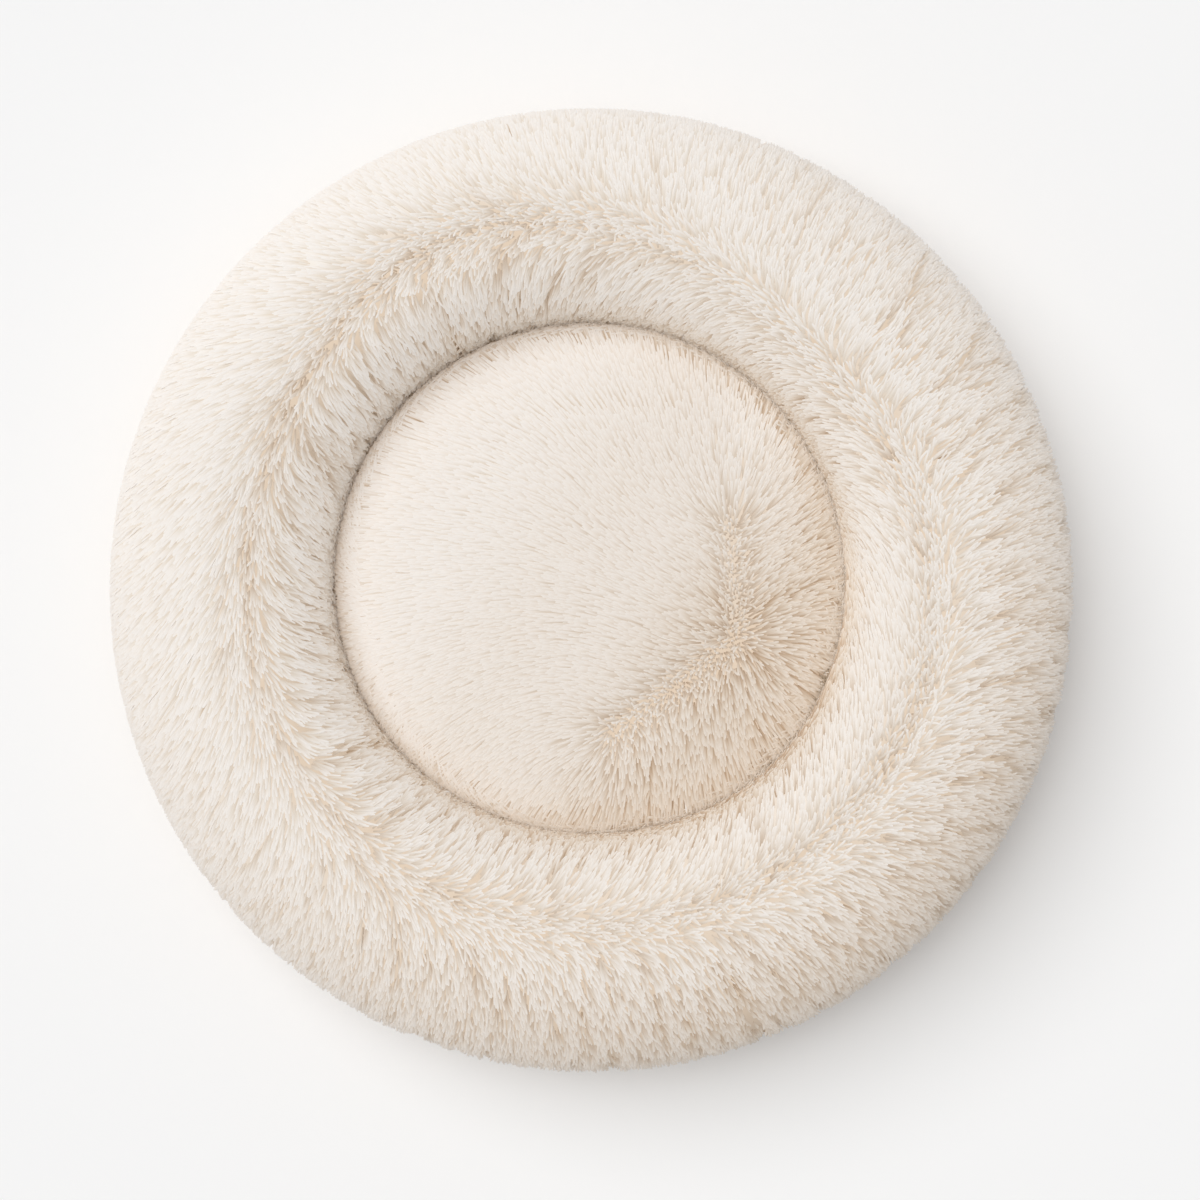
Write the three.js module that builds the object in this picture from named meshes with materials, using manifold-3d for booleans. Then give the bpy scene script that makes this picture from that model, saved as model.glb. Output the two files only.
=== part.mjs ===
// A round plush dog bed: a stuffed ring round a crowned seat, with a zipped woven base under both.
// Millimetres, +Z up. The origin is on the floor under the middle of the ring.
import * as THREE from 'three';
import { mergeVertices } from 'three/addons/utils/BufferGeometryUtils.js';
import Module from 'manifold-3d';

const wasm = await Module();
wasm.setup();

// Whole bed. The crease is the dark line where the ring's inner wall meets the seat.
const bedRadius = 350;
const crestRadius = 245;
const creaseRadius = 185;
const crestHeight = 173;
const bulgeHeight = 83;
const seatShiftX = -1.3;
const seatShiftY = 9.3;
const fillLumpHeight = 4;
const ringRoundness = 2.3;

// Lumps of the fibre: share of the lump height, waves round the ring, and phase in radians
const fillLumpShares = [[0.6, 3, 0.5], [0.4, 5, 2]];

// Cloth, and the clearance between pieces that touch
const plushThickness = 14;
const linerThickness = 1;
const fitGap = 0.3;
const layerGap = 0.6;
const seamAllowance = 12;

// Base panel with its grip dots
const panelRadius = 284;
const panelThickness = 2;
const dotHeight = 2.4;
const dotRadius = 6;
const dotRingSpacing = 64;
const dotsInFirstRing = 6;
const dotMargin = 4;
const dotRootDepth = 0.6;

// Seat and pad
const seatCrownHeight = 128;
const seatEdgeHeight = 84;
const seatRoundness = 2.2;
const creaseGap = 0.6;
const seatDrawIn = 5;
const seamHeight = 60;
const padFootSpread = 22;

// Seam tape under the crease, and the binding round the base seam
const creaseTapeWidth = 26;
const creaseTapeThickness = 1.5;
const bindingWidth = 4;
const bindingHeight = 2.6;

// Fill slits in the two liners
const slitLength = 120;
const slitWidth = 3;
const padSlitDistance = 90;

// Zip: chain, tapes and stops
const zipLength = 280;
const toothPitch = 5.6;
const toothThickness = 2.4;
const toothBaseHalf = 1.3;
const toothNeckHalf = 0.65;
const toothHeadHalf = 1.4;
const toothTipHalf = 0.7;
const toothReach = 1.5;
const toothHeadPlace = 0.6;
const toothNeckPlace = 0.7;
const toothRootPlace = 3.6;
const beadHalf = 0.7;
const beadPlace = 2.7;
const tapeThickness = 0.8;
const tapeWidth = 15;
const tapeOverrun = 22;
const stopLength = 4;
const topStopWidth = 1.6;

// Zip slider and pull
const sliderLength = 17;
const sliderNoseHalf = 7;
const sliderTailHalf = 5.6;
const sliderCorner = 2.4;
const plateThickness = 1.1;
const plateGap = 0.4;
const flangeWidth = 1.1;
const postLength = 6;
const postNoseHalf = 1.6;
const postSetback = 1;
const lugHalfLength = 3.4;
const lugHoleHalf = 2;
const lugHalfWidth = 0.9;
const lugBeam = 0.7;
const lugLowest = 0.3;
const pullThickness = 0.8;
const pullLength = 24;
const pullHalfWidth = 3.4;
const pullNeckHalf = 2.4;
const pullArm = 1;
const pullEyeLength = 3.7;
const pullSlotLength = 8;
const pullSlotHalf = 1.1;
const pullEndMargin = 3;

// Slot in the base for the zip, and the groove that the zip presses into the pad
const slotHalfWidth = 8.6;
const slotOverrun = 12;
const grooveHeight = 12;

// Heights that follow
const panelTop = dotHeight + panelThickness;
const restHeight = panelTop + fitGap;
const baseSeamRadius = panelRadius - seamAllowance;
const chainMiddle = restHeight + tapeThickness / 2;
const toothBottom = chainMiddle - toothThickness / 2;
const toothTop = chainMiddle + toothThickness / 2;
const tapePlace = toothRootPlace + fitGap;
const tapeLength = zipLength + tapeOverrun * 2;
const grooveHalfWidth = tapePlace + tapeWidth + fitGap;

// Fineness of the round forms, and the overrun of every cut
const roundSteps = 40;
const coverSteps = 16;
const insertSteps = 12;
const crownSteps = 7;
const footSteps = 5;
const dotSides = 6;
const slotEndSteps = 4;
const wedgeSteps = 4;
const weldDistance = 0.0001;
const cutOverrun = 5;
const cutReach = bedRadius * 2;

// Where the two halves of the ring cover are sewn to each other, in degrees round the ring
const seamDegrees = [120, 305];
const fullTurn = Math.PI * 2;
const quarterTurn = Math.PI / 2;

// Solids and meshes

function toSolid(geometry) {
  const bare = geometry.clone();
  bare.deleteAttribute('normal');
  bare.deleteAttribute('uv');
  const merged = mergeVertices(bare, weldDistance);
  const index = merged.index.array;
  const triangles = [];
  for (let i = 0; i < index.length; i += 3) {
    const corners = [index[i], index[i + 1], index[i + 2]];
    if (new Set(corners).size === corners.length) triangles.push(...corners);
  }
  return new wasm.Manifold(new wasm.Mesh({
    numProp: 3,
    vertProperties: merged.attributes.position.array,
    triVerts: new Uint32Array(triangles),
  }));
}

function toMesh(name, solid, material) {
  const { vertProperties, triVerts } = solid.getMesh();
  const geometry = new THREE.BufferGeometry();
  geometry.setAttribute('position', new THREE.BufferAttribute(vertProperties, 3));
  geometry.setIndex(new THREE.BufferAttribute(triVerts, 1));
  geometry.computeVertexNormals();
  const mesh = new THREE.Mesh(geometry, material);
  mesh.name = name;
  return mesh;
}

// A closed profile of [radius, height] points, turned round the Z axis
function latheGeometry(profile) {
  const points = profile.map(([radius, height]) => new THREE.Vector2(radius, height));
  const geometry = new THREE.LatheGeometry(points, roundSteps);
  geometry.rotateX(quarterTurn);
  return geometry;
}

// An outline of [x, y] points with any holes, raised from one height to another
function prismGeometry(outline, low, high, holes = []) {
  const shape = new THREE.Shape(outline.map(([x, y]) => new THREE.Vector2(x, y)));
  for (const hole of holes) {
    shape.holes.push(new THREE.Path(hole.map(([x, y]) => new THREE.Vector2(x, y))));
  }
  const geometry = new THREE.ExtrudeGeometry(shape, { depth: high - low, bevelEnabled: false });
  geometry.translate(0, 0, low);
  return geometry;
}

function boxSolid(low, high) {
  const size = high.map((value, axis) => value - low[axis]);
  const geometry = new THREE.BoxGeometry(...size);
  geometry.translate(...high.map((value, axis) => (value + low[axis]) / 2));
  return toSolid(geometry);
}

function joinAll(solids) {
  return solids.reduce((whole, solid) => whole.add(solid));
}

function smoothShare(value) {
  const share = Math.min(Math.max(value, 0), 1);
  return share * share * (3 - 2 * share);
}

// A point of a superellipse with its own half width and half height
function roundedPoint(angle, halfWidth, halfHeight, roundness) {
  const cosine = Math.cos(angle);
  const sine = Math.sin(angle);
  const across = Math.sign(cosine) * Math.abs(cosine) ** (2 / roundness);
  const up = Math.sign(sine) * Math.abs(sine) ** (2 / roundness);
  return [halfWidth * across, halfHeight * up];
}

function evenAngles(start, end, steps) {
  return Array.from({ length: steps + 1 }, (_, i) => start + (end - start) * i / steps);
}

// The two angles given, and between them every step of a turn cut into equal steps
function turnsBetween(start, end, steps) {
  const all = evenAngles(-fullTurn, fullTurn, steps * 2);
  return [start, ...all.filter((angle) => angle > start && angle < end), end];
}

// The ring: every layer is the same rounded section, drawn in by an inset from the pile's surface and
// standing on its own floor height. The ring is narrow inside the crest and wide outside it.

function ringHalves(layer, angle) {
  const outside = Math.cos(angle) > 0;
  const above = Math.sin(angle) > 0;
  return [
    (outside ? bedRadius - crestRadius : crestRadius - creaseRadius) - layer.inset,
    above ? crestHeight - bulgeHeight - layer.inset : bulgeHeight - layer.floor,
  ];
}

function ringPoint(layer, angle) {
  const [halfWidth, halfHeight] = ringHalves(layer, angle);
  const [across, up] = roundedPoint(angle, halfWidth, halfHeight, ringRoundness);
  return [crestRadius + across, Math.max(bulgeHeight + up, restHeight)];
}

// Where a layer's section comes down to the base seam outside, and to the crease seam inside
function baseSeamAngle(layer) {
  const reach = baseSeamRadius - crestRadius;
  const halfWidth = (reach > 0 ? bedRadius - crestRadius : crestRadius - creaseRadius) - layer.inset;
  return -quarterTurn + Math.sign(reach) * Math.asin((Math.abs(reach) / halfWidth) ** (ringRoundness / 2));
}

function creaseSeamAngle(layer) {
  const drop = bulgeHeight - seamHeight;
  return Math.PI + Math.asin((drop / (bulgeHeight - layer.floor)) ** (ringRoundness / 2));
}

// The seat sits a little off the ring's middle, so the inner wall follows it and the outer wall doesn't.
// The fibre inside lifts the crest here and there.
function settleRing(geometry) {
  const places = geometry.attributes.position;
  for (let i = 0; i < places.count; i += 1) {
    const [x, y, z] = [places.getX(i), places.getY(i), places.getZ(i)];
    const turn = Math.atan2(y, x);
    const inward = smoothShare((panelRadius - Math.hypot(x, y)) / (panelRadius - creaseRadius));
    const upward = smoothShare((z - bulgeHeight) / (crestHeight - bulgeHeight));
    const lump = fillLumpShares.reduce((sum, [share, waves, phase]) => sum + share * Math.cos(waves * turn + phase), 0);
    places.setXYZ(i, x + seatShiftX * inward, y + seatShiftY * inward, z + fillLumpHeight * lump * upward);
  }
  return geometry;
}

function ringSolid(profile) {
  return toSolid(settleRing(latheGeometry([...profile, profile[0]])));
}

const coverOuterLayer = { inset: 0, floor: 0 };
const coverInnerLayer = { inset: plushThickness, floor: restHeight };
const linerOuterLayer = { inset: plushThickness + layerGap, floor: restHeight + layerGap };
const linerInnerLayer = {
  inset: linerOuterLayer.inset + linerThickness,
  floor: linerOuterLayer.floor + linerThickness,
};
const fillLayer = { inset: linerInnerLayer.inset + layerGap, floor: linerInnerLayer.floor + layerGap };

function ringInsertProfile(layer) {
  return evenAngles(-Math.PI, Math.PI, insertSteps).slice(1).map((angle) => ringPoint(layer, angle));
}

// A C section that is open under the ring, from the base seam on the panel over the crest to the crease seam
function ringCoverProfile() {
  const outerStart = baseSeamAngle(coverOuterLayer);
  const outerEnd = creaseSeamAngle(coverOuterLayer);
  const innerStart = baseSeamAngle(coverInnerLayer);
  const innerEnd = creaseSeamAngle(coverInnerLayer);
  const outside = turnsBetween(outerStart, outerEnd, coverSteps).slice(1);
  const inside = turnsBetween(innerStart, innerEnd, insertSteps);
  return [
    [baseSeamRadius, restHeight],
    ...outside.map((angle) => ringPoint(coverOuterLayer, angle)),
    ...inside.reverse().map((angle) => ringPoint(coverInnerLayer, angle)),
  ];
}

// The half of the bed between two seams
function seamWedge(startDegrees, endDegrees) {
  const angles = evenAngles(startDegrees, endDegrees, wedgeSteps).map((degrees) => THREE.MathUtils.degToRad(degrees));
  const rim = angles.map((angle) => [cutReach * Math.cos(angle), cutReach * Math.sin(angle)]);
  return toSolid(prismGeometry([[0, 0], ...rim], -cutReach, cutReach));
}

function seamSlab(degrees) {
  const geometry = new THREE.BoxGeometry(cutReach, fitGap, cutReach);
  geometry.translate(cutReach / 2, 0, 0);
  geometry.rotateZ(THREE.MathUtils.degToRad(degrees));
  return toSolid(geometry);
}

function ringCoverHalves() {
  const [first, second] = seamDegrees;
  const sewn = ringSolid(ringCoverProfile()).subtract(seamSlab(first)).subtract(seamSlab(second));
  return {
    left: sewn.intersect(seamWedge(first, second)),
    right: sewn.intersect(seamWedge(second, first + 360)),
  };
}

function slitSolid(distance, depth) {
  return boxSolid(
    [-slitLength / 2, -distance - slitWidth / 2, restHeight - cutOverrun],
    [slitLength / 2, -distance + slitWidth / 2, restHeight + depth],
  );
}

function ringLiner() {
  const shell = ringSolid(ringInsertProfile(linerOuterLayer));
  const hollow = ringSolid(ringInsertProfile(linerInnerLayer));
  return shell.subtract(hollow).subtract(slitSolid(crestRadius, cutOverrun));
}

// The seat: a crowned plush disc whose side is drawn in below its edge, down to the crease seam

const seatRadius = creaseRadius - creaseGap;

function crownProfile(inset) {
  const halfWidth = seatRadius - inset;
  const halfHeight = seatCrownHeight - seatEdgeHeight - inset;
  return evenAngles(quarterTurn, 0, crownSteps).map((angle) => {
    const [across, up] = roundedPoint(angle, halfWidth, halfHeight, seatRoundness);
    return [angle === quarterTurn ? 0 : across, seatEdgeHeight + up];
  });
}

function shiftToSeat(geometry) {
  return geometry.translate(seatShiftX, seatShiftY, 0);
}

function seatCover() {
  const waist = seatRadius - seatDrawIn;
  const outside = [...crownProfile(0), [waist, seamHeight]];
  const inside = [...crownProfile(plushThickness), [waist - plushThickness, seamHeight]];
  return toSolid(shiftToSeat(latheGeometry([...inside, ...outside.reverse()])));
}

// The pad fills the seat cover, and spreads under the crease seam onto the base panel
function padProfile(inset) {
  const layer = plushThickness + fitGap + inset;
  const waist = seatRadius - seatDrawIn - plushThickness - fitGap;
  const shoulder = seamHeight - creaseTapeThickness - fitGap * 2;
  const footMiddle = (shoulder + restHeight) / 2;
  const footHalf = (shoulder - restHeight) / 2 - inset;
  const foot = evenAngles(quarterTurn, -quarterTurn, footSteps).map((angle) => {
    const [across, up] = roundedPoint(angle, padFootSpread - inset, footHalf, ringRoundness);
    return [waist + across, footMiddle + up];
  });
  return [...crownProfile(layer), [waist - inset, seamHeight], ...foot, [0, restHeight + inset]].reverse();
}

// The pad's bottom is dented where the zip lies under it
function padSolid(inset) {
  const groove = boxSolid(
    [-tapeLength / 2 - fitGap - inset, -grooveHalfWidth - inset, restHeight - cutOverrun],
    [tapeLength / 2 + fitGap + inset, grooveHalfWidth + inset, grooveHeight + inset],
  );
  return toSolid(shiftToSeat(latheGeometry(padProfile(inset)))).subtract(groove);
}

function padLiner() {
  return padSolid(0).subtract(padSolid(linerThickness)).subtract(slitSolid(padSlitDistance, cutOverrun));
}

// Flat ring of binding under the two plush edges that meet at the crease
function creaseSeamTape() {
  const seamMiddle = (seatRadius - seatDrawIn + ringPoint(coverOuterLayer, creaseSeamAngle(coverOuterLayer))[0]) / 2;
  const inner = seamMiddle - creaseTapeWidth / 2;
  const outer = seamMiddle + creaseTapeWidth / 2;
  const top = seamHeight - fitGap;
  const bottom = top - creaseTapeThickness;
  return ringSolid([[inner, bottom], [outer, bottom], [outer, top], [inner, top]]);
}

function baseSeamBinding() {
  const inner = panelRadius + fitGap;
  const outer = inner + bindingWidth;
  const top = restHeight - fitGap;
  const bottom = top - bindingHeight;
  const middle = (top + bottom) / 2;
  const chamfer = bindingHeight / 4;
  return ringSolid([
    [inner, bottom], [outer - chamfer, bottom], [outer, middle], [outer - chamfer, top], [inner, top],
  ]);
}

// The base panel: a woven disc with rubber grip dots under it and a slot for the zip

function dotCentres() {
  const centres = [];
  const rings = Math.floor((panelRadius - dotRadius - dotMargin) / dotRingSpacing);
  for (let ring = 1; ring <= rings; ring += 1) {
    const count = dotsInFirstRing * ring;
    for (let i = 0; i < count; i += 1) {
      const angle = fullTurn * (i + 0.5) / count;
      const [x, y] = [dotRingSpacing * ring * Math.cos(angle), dotRingSpacing * ring * Math.sin(angle)];
      const besideSlot = Math.abs(y) > slotHalfWidth + dotRadius + dotMargin;
      const beyondSlot = Math.abs(x) > zipLength / 2 + slotOverrun + dotRadius + dotMargin;
      if (besideSlot || beyondSlot) centres.push([x, y]);
    }
  }
  return centres;
}

function gripDot([x, y]) {
  const height = dotHeight + dotRootDepth;
  const geometry = new THREE.CylinderGeometry(dotRadius, dotRadius, height, dotSides);
  geometry.rotateX(quarterTurn);
  geometry.translate(x, y, height / 2);
  return toSolid(geometry);
}

function slotOutline() {
  const straight = zipLength / 2 + slotOverrun - slotHalfWidth;
  const right = evenAngles(-quarterTurn, quarterTurn, slotEndSteps);
  const left = evenAngles(quarterTurn, quarterTurn * 3, slotEndSteps);
  const place = (middle) => (angle) => [
    middle + slotHalfWidth * Math.cos(angle),
    slotHalfWidth * Math.sin(angle),
  ];
  return [...right.map(place(straight)), ...left.map(place(-straight))];
}

function basePanel() {
  const disc = latheGeometry([[0, dotHeight], [panelRadius, dotHeight], [panelRadius, panelTop], [0, panelTop]]);
  const slot = toSolid(prismGeometry(slotOutline(), dotHeight - cutOverrun, panelTop + cutOverrun));
  return joinAll([toSolid(disc), ...dotCentres().map(gripDot)]).subtract(slot);
}

// The zip: side is -1 for the front row and 1 for the back row

const sliderNose = zipLength / 2 + stopLength / 2;
const sliderTail = sliderNose - sliderLength;
const postTip = sliderNose - postSetback - postLength;

function zipTape(side) {
  const edges = [tapePlace * side, (tapePlace + tapeWidth) * side].sort((a, b) => a - b);
  return boxSolid(
    [-tapeLength / 2, edges[0], restHeight],
    [tapeLength / 2, edges[1], restHeight + tapeThickness],
  );
}

// A tooth's root grips the bead, its narrow neck reaches for the middle line and its wide head crosses
// it, so that each head is locked between two heads of the other row.
function toothOutline(middle, side) {
  const half = [
    [toothBaseHalf, toothRootPlace],
    [toothNeckHalf, toothNeckPlace],
    [toothHeadHalf, -toothHeadPlace],
    [toothTipHalf, -toothReach],
  ];
  const right = half.map(([x, y]) => [middle + x, y * side]);
  const left = half.map(([x, y]) => [middle - x, y * side]).reverse();
  return [...right, ...left];
}

function zipTeeth(side) {
  const first = -zipLength / 2 + stopLength / 2 + fitGap + toothHeadHalf;
  const last = postTip - fitGap - toothHeadHalf;
  const start = first + (side > 0 ? toothPitch / 2 : 0);
  const count = Math.floor((last - start) / toothPitch) + 1;
  const teeth = Array.from({ length: count }, (_, i) => {
    const outline = toothOutline(start + toothPitch * i, side);
    return toSolid(prismGeometry(outline, toothBottom, toothTop));
  });
  const places = [(beadPlace - beadHalf) * side, (beadPlace + beadHalf) * side].sort((a, b) => a - b);
  const bead = boxSolid(
    [first - toothBaseHalf, places[0], chainMiddle - beadHalf],
    [sliderNose - stopLength - fitGap, places[1], chainMiddle + beadHalf],
  );
  return joinAll([bead, ...teeth]);
}

function topStop(side) {
  const places = [toothRootPlace * side, (toothRootPlace - topStopWidth) * side].sort((a, b) => a - b);
  return boxSolid(
    [sliderNose - stopLength, places[0], toothBottom],
    [sliderNose, places[1], toothTop],
  );
}

function bottomStop() {
  return boxSolid(
    [-zipLength / 2 - stopLength / 2, -toothRootPlace, toothBottom],
    [-zipLength / 2 + stopLength / 2, toothRootPlace, toothTop],
  );
}

// Plan of the slider's plates, wide at the nose where the rows come apart
function sliderOutline() {
  return [
    [sliderTail, -sliderTailHalf + sliderCorner],
    [sliderTail + sliderCorner, -sliderTailHalf],
    [sliderNose - sliderCorner, -sliderNoseHalf],
    [sliderNose, -sliderNoseHalf + sliderCorner],
    [sliderNose, sliderNoseHalf - sliderCorner],
    [sliderNose - sliderCorner, sliderNoseHalf],
    [sliderTail + sliderCorner, sliderTailHalf],
    [sliderTail, sliderTailHalf - sliderCorner],
  ];
}

function sliderFlangeOutline(side) {
  return [
    [sliderTail + sliderCorner, sliderTailHalf * side],
    [sliderNose - sliderCorner, sliderNoseHalf * side],
    [sliderNose - sliderCorner, (sliderNoseHalf - flangeWidth) * side],
    [sliderTail + sliderCorner, (sliderTailHalf - flangeWidth) * side],
  ];
}

const lowerPlateTop = toothBottom - plateGap;
const lowerPlateBottom = lowerPlateTop - plateThickness;
const upperPlateBottom = toothTop + plateGap;
const pullAxisX = sliderNose - sliderLength / 2;
const pullAxisZ = (lugLowest + lugBeam + lowerPlateBottom) / 2;

// The bridge under the lower plate that holds the pull
function sliderLug() {
  const outline = [
    [-lugHalfLength, lowerPlateTop],
    [-lugHalfLength + lugBeam, lugLowest],
    [lugHalfLength - lugBeam, lugLowest],
    [lugHalfLength, lowerPlateTop],
    [lugHoleHalf, lowerPlateTop],
    [lugHoleHalf, lugLowest + lugBeam],
    [-lugHoleHalf, lugLowest + lugBeam],
    [-lugHoleHalf, lowerPlateTop],
  ];
  const geometry = prismGeometry(outline, -lugHalfWidth, lugHalfWidth);
  geometry.rotateX(quarterTurn);
  geometry.translate(pullAxisX, 0, 0);
  return toSolid(geometry);
}

function zipSlider() {
  const post = [
    [postTip, 0],
    [sliderNose - postSetback, -postNoseHalf],
    [sliderNose - postSetback, postNoseHalf],
  ];
  const flanges = [-1, 1].flatMap((side) => [
    prismGeometry(sliderFlangeOutline(side), lowerPlateBottom, restHeight - fitGap),
    prismGeometry(sliderFlangeOutline(side), restHeight + tapeThickness + fitGap, upperPlateBottom + plateThickness),
  ]);
  const plates = [
    prismGeometry(sliderOutline(), lowerPlateBottom, lowerPlateTop),
    prismGeometry(sliderOutline(), upperPlateBottom, upperPlateBottom + plateThickness),
    prismGeometry(post, lowerPlateBottom, upperPlateBottom + plateThickness),
  ];
  return joinAll([...plates, ...flanges].map(toSolid)).add(sliderLug());
}

// The pull: an eye round the lug's beam, and a tab with a finger slot
function zipPull() {
  const bar = pullThickness / 2;
  const shoulder = -bar - pullEyeLength;
  const end = -pullLength;
  const outline = [
    [bar, -pullNeckHalf],
    [bar, pullNeckHalf],
    [shoulder, pullNeckHalf],
    [shoulder - pullArm, pullHalfWidth],
    [end + pullArm, pullHalfWidth],
    [end, pullNeckHalf],
    [end, -pullNeckHalf],
    [end + pullArm, -pullHalfWidth],
    [shoulder - pullArm, -pullHalfWidth],
    [shoulder, -pullNeckHalf],
  ];
  const rectangle = (left, right, half) => [[left, -half], [left, half], [right, half], [right, -half]];
  const holes = [
    rectangle(shoulder, -bar, pullNeckHalf - pullArm),
    rectangle(end + pullEndMargin, end + pullEndMargin + pullSlotLength, pullSlotHalf),
  ];
  const geometry = prismGeometry(outline, pullAxisZ - bar, pullAxisZ + bar, holes);
  geometry.translate(pullAxisX, 0, 0);
  return toSolid(geometry);
}

// Materials

function clothMaterial(color) {
  return new THREE.MeshStandardMaterial({ color, roughness: 0.95, metalness: 0 });
}

const plush = clothMaterial(0xeee4d9);
const seatPlush = clothMaterial(0xece1d5);
const wovenBase = clothMaterial(0xcdbfab);
const binding = clothMaterial(0xc9b59b);
const linerCloth = clothMaterial(0xf4f3f0);
const fibre = clothMaterial(0xfbfbf9);
const zipCloth = clothMaterial(0xddcfba);
const toothPlastic = new THREE.MeshStandardMaterial({ color: 0xe3d6c2, roughness: 0.5, metalness: 0 });
const sliderPaint = new THREE.MeshStandardMaterial({ color: 0xd8c9b2, roughness: 0.35, metalness: 0.4 });

// The bed

const ringCover = ringCoverHalves();
const bed = new THREE.Group();
bed.add(
  toMesh('ring_cover_left', ringCover.left, plush),
  toMesh('ring_cover_right', ringCover.right, plush),
  toMesh('seat_cover', seatCover(), seatPlush),
  toMesh('crease_seam_tape', creaseSeamTape(), binding),
  toMesh('base_panel', basePanel(), wovenBase),
  toMesh('base_seam_binding', baseSeamBinding(), binding),
  toMesh('ring_liner', ringLiner(), linerCloth),
  toMesh('ring_fibre_fill', ringSolid(ringInsertProfile(fillLayer)), fibre),
  toMesh('pad_liner', padLiner(), linerCloth),
  toMesh('pad_fibre_fill', padSolid(linerThickness + fitGap), fibre),
  toMesh('zip_tape_front', zipTape(-1), zipCloth),
  toMesh('zip_tape_back', zipTape(1), zipCloth),
  toMesh('zip_teeth_front', zipTeeth(-1), toothPlastic),
  toMesh('zip_teeth_back', zipTeeth(1), toothPlastic),
  toMesh('zip_top_stop_front', topStop(-1), toothPlastic),
  toMesh('zip_top_stop_back', topStop(1), toothPlastic),
  toMesh('zip_bottom_stop', bottomStop(), toothPlastic),
  toMesh('zip_slider', zipSlider(), sliderPaint),
  toMesh('zip_pull', zipPull(), sliderPaint),
);

export default bed;
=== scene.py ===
"""A round plush dog bed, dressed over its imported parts: pile, cloth skins, inserts, base and zip."""
import math

import bpy
import numpy as np
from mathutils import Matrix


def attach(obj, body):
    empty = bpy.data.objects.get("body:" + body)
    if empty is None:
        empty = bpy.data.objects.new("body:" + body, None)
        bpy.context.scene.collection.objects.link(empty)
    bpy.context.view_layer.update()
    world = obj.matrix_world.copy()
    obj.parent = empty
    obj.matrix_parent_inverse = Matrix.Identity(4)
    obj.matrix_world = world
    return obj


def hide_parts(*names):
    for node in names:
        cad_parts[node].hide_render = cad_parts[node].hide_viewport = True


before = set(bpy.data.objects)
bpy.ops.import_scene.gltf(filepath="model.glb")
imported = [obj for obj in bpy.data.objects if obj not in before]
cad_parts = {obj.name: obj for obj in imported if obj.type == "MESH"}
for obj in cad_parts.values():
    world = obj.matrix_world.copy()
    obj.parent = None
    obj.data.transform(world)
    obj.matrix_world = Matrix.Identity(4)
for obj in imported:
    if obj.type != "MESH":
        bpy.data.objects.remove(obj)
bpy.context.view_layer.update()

MM = 0.001
TINY = 1e-9
RNG = np.random.default_rng(20418)
FULL_TURN = 2 * math.pi

# Sizes of the bed, in metres, as the solids have them
BED_RADIUS = 350 * MM
CREST_RADIUS = 245 * MM
CREASE_RADIUS = 185 * MM
CREST_HEIGHT = 173 * MM
BULGE_HEIGHT = 83 * MM
SEAT_SHIFT = np.array([-1.3 * MM, 9.3 * MM])
LUMP_HEIGHT = 4 * MM
RING_ROUNDNESS = 2.3
PANEL_RADIUS = 284 * MM
REST_HEIGHT = 4.7 * MM
DOT_HEIGHT = 2.4 * MM
BINDING_EDGE = 288.3 * MM
SEAT_RADIUS = 184.4 * MM
SEAT_CROWN_HEIGHT = 128 * MM
SEAT_EDGE_HEIGHT = 84 * MM
SEAT_ROUNDNESS = 2.2
SEAT_DRAW_IN = 5 * MM
SEAT_SIDE_TURN = math.radians(20)
SEAM_HEIGHT = 60 * MM

# The lumps of the ring's fibre: how many go round, where they start, and their share of the height
LUMPS = ((3, 0.5, 0.6), (5, 2, 0.4))

# The pile: how deep the cloth that it grows from lies, how far its lowest roots are above the cover's
# rest, its length, and its strands, which come in locks
PILE_DEPTH = 10.5 * MM
SLEEK_DEPTH_SHARE = 0.5
ROOT_RISE = 3 * MM
PILE_LENGTH = 20.5 * MM
RING_STRANDS = 84000
SEAT_STRANDS = 23000
THINNING_SHARE = 0.22
STRANDS_IN_LOCK = 28
LOCK_STRETCH_SHARE = 0.8
STRANDS_IN_PIECE = 4200

# A strand is a soft finger with a blunt end. Its flanks are deeper in tone than its ridge, as painted
# shade between the strands. It has a width at each station but the last, which is the tip's own point
RUFFLED_WIDTH = 1.6 * MM
SLEEK_WIDTH = 1.55 * MM
STATION_SHARES = np.array([0.0, 0.3, 0.55, 0.78, 0.91, 0.975, 1.0])
STATION_WIDTH_SHARES = np.array([0.8, 1.0, 1.0, 1.0, 0.92, 0.62])
STATIONS = len(STATION_WIDTH_SHARES)
SIDES = 4
CORNER_TURNS = math.radians(90) + np.arange(SIDES) * FULL_TURN / SIDES
FLANK_PAINTED_SHADE = 0.2
TIP_FLANK_SHARE = 0.25
# The skins' layer of painted shade on the underfur
UNDERFUR_SHADE_LAYER = "ruffle"

# How a strand runs: its travel along the cloth at an even and at a growing pace, how it rises from the
# cloth, and how far its curl winds, in radians
EVEN_TRAVEL_SHARE = 0.75
LATE_TRAVEL_SHARE = 0.25
RISE_POWER = 0.85
CURL_WINDING = 4.5

# How much strands differ by chance. Lengths and widths are shares of the usual ones, and turns in radians
LENGTH_RANGE_SHARES = (0.8, 1.12)
WIDTH_RANGE_SHARES = (0.85, 1.12)
ROLL_SPREAD = 0.3
TONE_SPREAD = 0.05
PARTING_SPREAD = 0.8
RING_SCATTER = 4 * MM

# What changes with the ruffle: the amount on sleek pile, and how much more it is on fully ruffled pile
TURN_SPREADS = (0.04, 0.14)
LOCK_PULL_SHARES = (0.02, 0.42)
LENGTH_SHARES = (1, -0.28)
LIFT_SPREADS = (0.05, 0.1)
CURL_MILLIMETRES = (0.2, 1.6)
TONE_SPREAD_SHARES = (0.1, 1)
# The painted shade at the locks' edges grows with the ruffle
LOCK_EDGE_PAINTED_SHADE_SHARES = (0.04, 0.96)
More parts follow.
